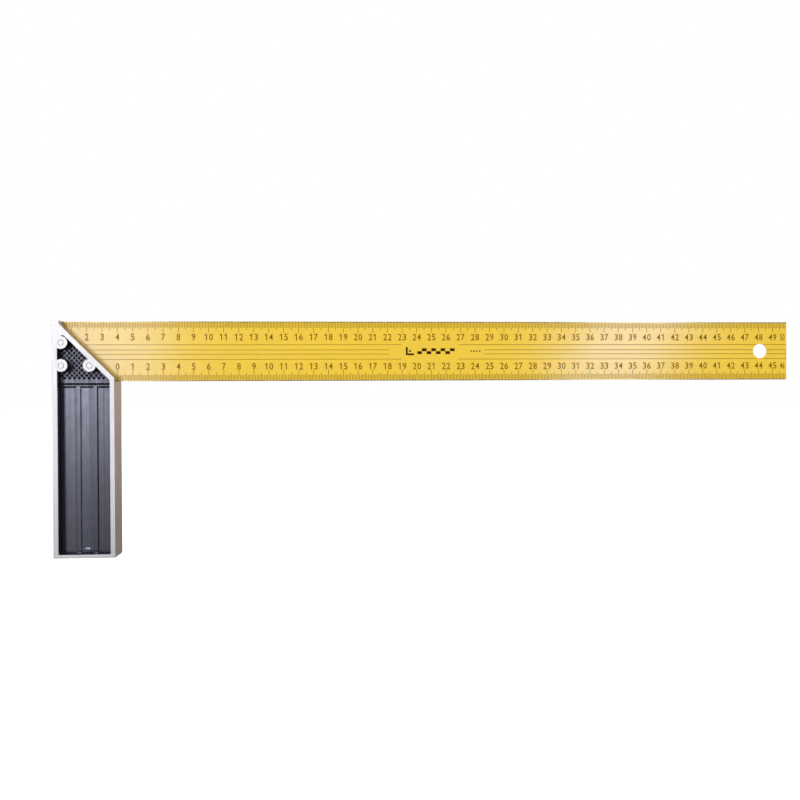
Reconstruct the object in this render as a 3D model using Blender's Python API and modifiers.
"""Try square with a 500 mm scale: a cast stock, a sheet steel blade and three flush rivets.

The square stands upright. +X runs along the blade, +Z up the stock towards the blade, and
+Y from the front face to the back. The origin is the centre of the stock's inner working
face, the face that lies against the work.
"""
import bpy
import bmesh
from math import radians, sqrt

MM = 0.001

# Stock
STOCK_WIDTH = 40 * MM        # outer edge to inner working face
STOCK_DEPTH = 18.5 * MM      # front face to back face
WORKING_LENGTH = 116 * MM    # stock below the blade
TIP_WIDTH = 4.2 * MM         # flat left at the top of the mitre
MITRE_RISE = 2.2 * MM        # inner face runs this far up past the blade's lower edge

# Recess in each side of the stock
RIM_OUTER = 3.5 * MM
RIM_INNER = 3.1 * MM
RIM_END = 2.3 * MM
RIM_MITRE = 3.2 * MM
PANEL_DEPTH = 8.0 * MM       # grip panel floor below the rim
PLATEAU_DEPTH = 7.0 * MM     # floor around the blade, below the rim
PLATEAU_DROP = 1.0 * MM      # plateau ends this far below the blade's lower edge
FOOT_RADIUS = 1.5 * MM       # cast radius where the walls meet the floors
FOOT_SEGMENTS = 4

# Raised detail on the grip panel
RIB_WIDTH = 3.0 * MM
RIB_HEIGHT = 0.8 * MM
RIB_OFFSETS = (25.1 * MM, 14.3 * MM)    # rib centrelines, from the inner working face
BEAD_WIDTH = 1.0 * MM
BEAD_HEIGHT = 0.7 * MM
BEAD_DROP = 3.05 * MM        # bead centreline below the blade's lower edge

# Rivets and the bosses around them
BOSS_RADIUS = 4.25 * MM
BOSS_COLUMN_OUTER = 34.2 * MM    # boss centres, from the inner working face
BOSS_COLUMN_INNER = 16.0 * MM
BOSS_ROW_LOW = 10.4 * MM         # boss centres, above the blade's lower edge
BOSS_ROW_HIGH = 25.4 * MM
BOSS_TOP_MARGIN = 0.45 * MM      # recess ends this far above the top boss
RIVET_RADIUS = 1.6 * MM
RIVET_INSET = 0.05 * MM          # rivet ends sit this far inside the rim faces
ROUND_SEGMENTS = 48

# Blade
BLADE_WIDTH = 40 * MM
BLADE_THICKNESS = 1.0 * MM
BLADE_REACH = 460 * MM       # inner working face to the blade's end
TANG_LENGTH = 36 * MM        # blade inside the stock
HANG_HOLE_RADIUS = 5.0 * MM
HANG_HOLE_INSET = 19 * MM    # hole centre, from the blade's end

GAP = 0.3 * MM               # clearance between neighbouring pieces
OVERSHOOT = 5 * MM           # how far a cutter runs out past the metal

# Places worked out from the sizes above
BLADE_LOW = WORKING_LENGTH / 2
BLADE_TOP = BLADE_LOW + BLADE_WIDTH
STOCK_LOW = -WORKING_LENGTH / 2
HALF_DEPTH = STOCK_DEPTH / 2
MITRE_SUM = BLADE_LOW + MITRE_RISE    # x + z all along the mitre
RECESS_SUM = MITRE_SUM - RIM_MITRE * sqrt(2)
RECESS_LEFT = RIM_OUTER - STOCK_WIDTH
RECESS_RIGHT = -RIM_INNER
RECESS_LOW = STOCK_LOW + RIM_END
PLATEAU_LOW = BLADE_LOW - PLATEAU_DROP
RIVETS = {
    "rivet_top": (-BOSS_COLUMN_OUTER, BLADE_LOW + BOSS_ROW_HIGH),
    "rivet_outer": (-BOSS_COLUMN_OUTER, BLADE_LOW + BOSS_ROW_LOW),
    "rivet_inner": (-BOSS_COLUMN_INNER, BLADE_LOW + BOSS_ROW_LOW),
}


def clear_scene():
    for obj in list(bpy.data.objects):
        bpy.data.objects.remove(obj)


def new_collection(name):
    collection = bpy.data.collections.new(name)
    bpy.context.scene.collection.children.link(collection)
    return collection


def material(name, colour, roughness, metallic):
    mat = bpy.data.materials.new(name)
    mat.use_nodes = True
    shader = mat.node_tree.nodes["Principled BSDF"]
    shader.inputs["Base Color"].default_value = (*colour, 1.0)
    shader.inputs["Roughness"].default_value = roughness
    shader.inputs["Metallic"].default_value = metallic
    mat.diffuse_color = (*colour, 1.0)
    return mat


def place(obj, collection):
    """Keep the object in one collection only."""
    for other in list(obj.users_collection):
        other.objects.unlink(obj)
    collection.objects.link(obj)
    return obj


def hide_cutter(obj):
    obj.hide_render = True
    obj.display_type = "WIRE"
    return obj


def add_outline(curve, points):
    """Add one closed outline of straight lines; points are (x, z)."""
    spline = curve.splines.new("POLY")
    spline.points.add(len(points) - 1)
    for point, (x, z) in zip(spline.points, points):
        point.co = (x, z, 0, 1)
    spline.use_cyclic_u = True


def plate(name, outlines, thickness, collection, centre_y=0.0):
    """Solid plate standing in the XZ plane, cut from flat outlines; inner outlines are holes."""
    curve = bpy.data.curves.new(name, "CURVE")
    curve.dimensions = "2D"
    curve.fill_mode = "BOTH"
    curve.extrude = thickness / 2
    for points in outlines:
        add_outline(curve, points)
    flat = place_curve(name, curve, collection, centre_y)
    return curve_to_mesh(flat, collection)


def place_curve(name, curve, collection, centre_y):
    flat = bpy.data.objects.new(name, curve)
    flat.rotation_euler = (radians(90), 0, 0)
    flat.location = (0, centre_y, 0)
    collection.objects.link(flat)
    bpy.context.view_layer.update()
    return flat


def curve_to_mesh(flat, collection):
    """Swap a filled curve for a closed mesh of the same name and place."""
    name = flat.name
    evaluated = flat.evaluated_get(bpy.context.evaluated_depsgraph_get())
    mesh = bpy.data.meshes.new_from_object(evaluated)
    bm = bmesh.new()
    bm.from_mesh(mesh)
    bmesh.ops.remove_doubles(bm, verts=bm.verts, dist=0.000001)
    bm.to_mesh(mesh)
    bm.free()
    solid = bpy.data.objects.new(name, mesh)
    solid.matrix_world = flat.matrix_world
    collection.objects.link(solid)
    bpy.data.objects.remove(flat)
    solid.name = name
    return solid


def rectangle(left, right, low, high):
    return [(left, low), (right, low), (right, high), (left, high)]


def round_bars(name, centres, radius, length, collection):
    """Round bars along Y, one at each (x, z) centre, in one mesh."""
    mesh = bpy.data.meshes.new(name)
    bm = bmesh.new()
    for x, z in centres:
        bar = bmesh.ops.create_cone(
            bm, cap_ends=True, segments=ROUND_SEGMENTS, radius1=radius, radius2=radius, depth=length
        )
        bmesh.ops.translate(bm, verts=bar["verts"], vec=(x, -z, 0))
    bm.to_mesh(mesh)
    bm.free()
    mesh.shade_smooth()
    mesh.set_sharp_from_angle(angle=radians(40))
    bars = bpy.data.objects.new(name, mesh)
    bars.rotation_euler = (radians(-90), 0, 0)
    collection.objects.link(bars)
    return bars


def boolean(obj, other, operation="DIFFERENCE"):
    modifier = obj.modifiers.new(f"{operation.lower()}_{other.name}", "BOOLEAN")
    modifier.operation = operation
    modifier.solver = "EXACT"
    modifier.object = other


def soften_foot(cutter):
    """Round the cutter's edges, which leaves a cast radius at the foot of the recess walls."""
    bevel = cutter.modifiers.new("foot_radius", "BEVEL")
    bevel.width = FOOT_RADIUS
    bevel.segments = FOOT_SEGMENTS
    bevel.limit_method = "ANGLE"
    bevel.angle_limit = radians(30)


def pocket_cutter(name, outline, depth, side, cutters):
    """Cutter for a recess of this depth in one side: -1 is the front, +1 the back."""
    floor = HALF_DEPTH - depth
    ceiling = HALF_DEPTH + OVERSHOOT
    cutter = plate(name, [outline], ceiling - floor, cutters, side * (floor + ceiling) / 2)
    soften_foot(cutter)
    return hide_cutter(cutter)


def panel_details(side, cutters):
    """The ribs and the bead that stay raised on the grip panel's floor."""
    floor = HALF_DEPTH - PANEL_DEPTH
    buried = floor - OVERSHOOT
    details = []
    bead_z = BLADE_LOW - BEAD_DROP
    bead = rectangle(-STOCK_WIDTH, 0, bead_z - BEAD_WIDTH / 2, bead_z + BEAD_WIDTH / 2)
    details.append(("bead", bead, floor + BEAD_HEIGHT))
    for number, offset in enumerate(RIB_OFFSETS, 1):
        rib = rectangle(-offset - RIB_WIDTH / 2, -offset + RIB_WIDTH / 2, STOCK_LOW, bead_z)
        details.append((f"rib_{number}", rib, floor + RIB_HEIGHT))
    for name, outline, top in details:
        raised = plate(f"{name}_{side_name(side)}", [outline], top - buried, cutters,
                       side * (top + buried) / 2)
        yield hide_cutter(raised)


def side_name(side):
    return "front" if side < 0 else "back"


def tip_block(cutters):
    """Solid metal kept at the top of the recess, above the top boss."""
    boss_x, boss_z = RIVETS["rivet_top"]
    recess_top = boss_z + BOSS_RADIUS + BOSS_TOP_MARGIN
    outline = [
        (boss_x, boss_z),
        (boss_x, recess_top),
        (0, recess_top),
        (0, BLADE_TOP + OVERSHOOT),
        (-STOCK_WIDTH, BLADE_TOP + OVERSHOOT),
        (-STOCK_WIDTH, boss_z),
    ]
    return hide_cutter(plate("tip_block", [outline], 2 * STOCK_DEPTH, cutters))


def stock_outline():
    tip_x = TIP_WIDTH - STOCK_WIDTH
    return [
        (-STOCK_WIDTH, STOCK_LOW),
        (0, STOCK_LOW),
        (0, MITRE_SUM),
        (tip_x, MITRE_SUM - tip_x),
        (tip_x, BLADE_TOP),
        (-STOCK_WIDTH, BLADE_TOP),
    ]


def recess_cutters(side, cutters, posts, tip):
    """The two cutters for one side: the grip panel, and the plateau around the blade."""
    panel = pocket_cutter(
        f"panel_{side_name(side)}",
        rectangle(RECESS_LEFT, RECESS_RIGHT, RECESS_LOW, PLATEAU_LOW),
        PANEL_DEPTH, side, cutters,
    )
    for raised in panel_details(side, cutters):
        boolean(panel, raised)
    overlap_low = PLATEAU_LOW - 2 * FOOT_RADIUS
    plateau = pocket_cutter(
        f"plateau_{side_name(side)}",
        [
            (RECESS_LEFT, overlap_low),
            (RECESS_RIGHT, overlap_low),
            (RECESS_RIGHT, RECESS_SUM - RECESS_RIGHT),
            (RECESS_LEFT, RECESS_SUM - RECESS_LEFT),
        ],
        PLATEAU_DEPTH, side, cutters,
    )
    boolean(plateau, posts)
    boolean(plateau, tip)
    return panel, plateau


def blade_slot(cutters):
    outline = rectangle(-TANG_LENGTH - GAP, OVERSHOOT, BLADE_LOW - GAP, BLADE_TOP + OVERSHOOT)
    return hide_cutter(plate("blade_slot", [outline], BLADE_THICKNESS + 2 * GAP, cutters))


def make_stock(parts, cutters, rivet_bores):
    stock = plate("stock", [stock_outline()], STOCK_DEPTH, parts)
    posts = hide_cutter(
        round_bars("boss_posts", RIVETS.values(), BOSS_RADIUS, 3 * STOCK_DEPTH, cutters)
    )
    tip = tip_block(cutters)
    for side in (-1, 1):
        for cutter in recess_cutters(side, cutters, posts, tip):
            boolean(stock, cutter)
    boolean(stock, blade_slot(cutters))
    boolean(stock, rivet_bores)
    stock.data.materials.append(material("cast_aluminium", (0.62, 0.62, 0.64), 0.35, 1.0))


def make_blade(parts, cutters, rivet_bores):
    outline = rectangle(-TANG_LENGTH, BLADE_REACH, BLADE_LOW, BLADE_TOP)
    blade = plate("blade", [outline], BLADE_THICKNESS, parts)
    hole_centre = (BLADE_REACH - HANG_HOLE_INSET, BLADE_LOW + BLADE_WIDTH / 2)
    hang_hole = round_bars("hang_hole", [hole_centre], HANG_HOLE_RADIUS, STOCK_DEPTH, cutters)
    boolean(blade, hide_cutter(hang_hole))
    boolean(blade, rivet_bores)
    blade.data.materials.append(material("yellow_lacquer", (0.83, 0.55, 0.05), 0.38, 0.0))


def make_rivets(parts):
    metal = material("rivet_metal", (0.6, 0.6, 0.62), 0.4, 1.0)
    length = STOCK_DEPTH - 2 * RIVET_INSET
    for name, centre in RIVETS.items():
        rivet = round_bars(name, [centre], RIVET_RADIUS, length, parts)
        rivet.data.materials.append(metal)


def main():
    clear_scene()
    parts = new_collection("try_square")
    cutters = new_collection("cutters")
    rivet_bores = hide_cutter(
        round_bars("rivet_bores", RIVETS.values(), RIVET_RADIUS + GAP, 2 * STOCK_DEPTH, cutters)
    )
    make_stock(parts, cutters, rivet_bores)
    make_blade(parts, cutters, rivet_bores)
    make_rivets(parts)


main()
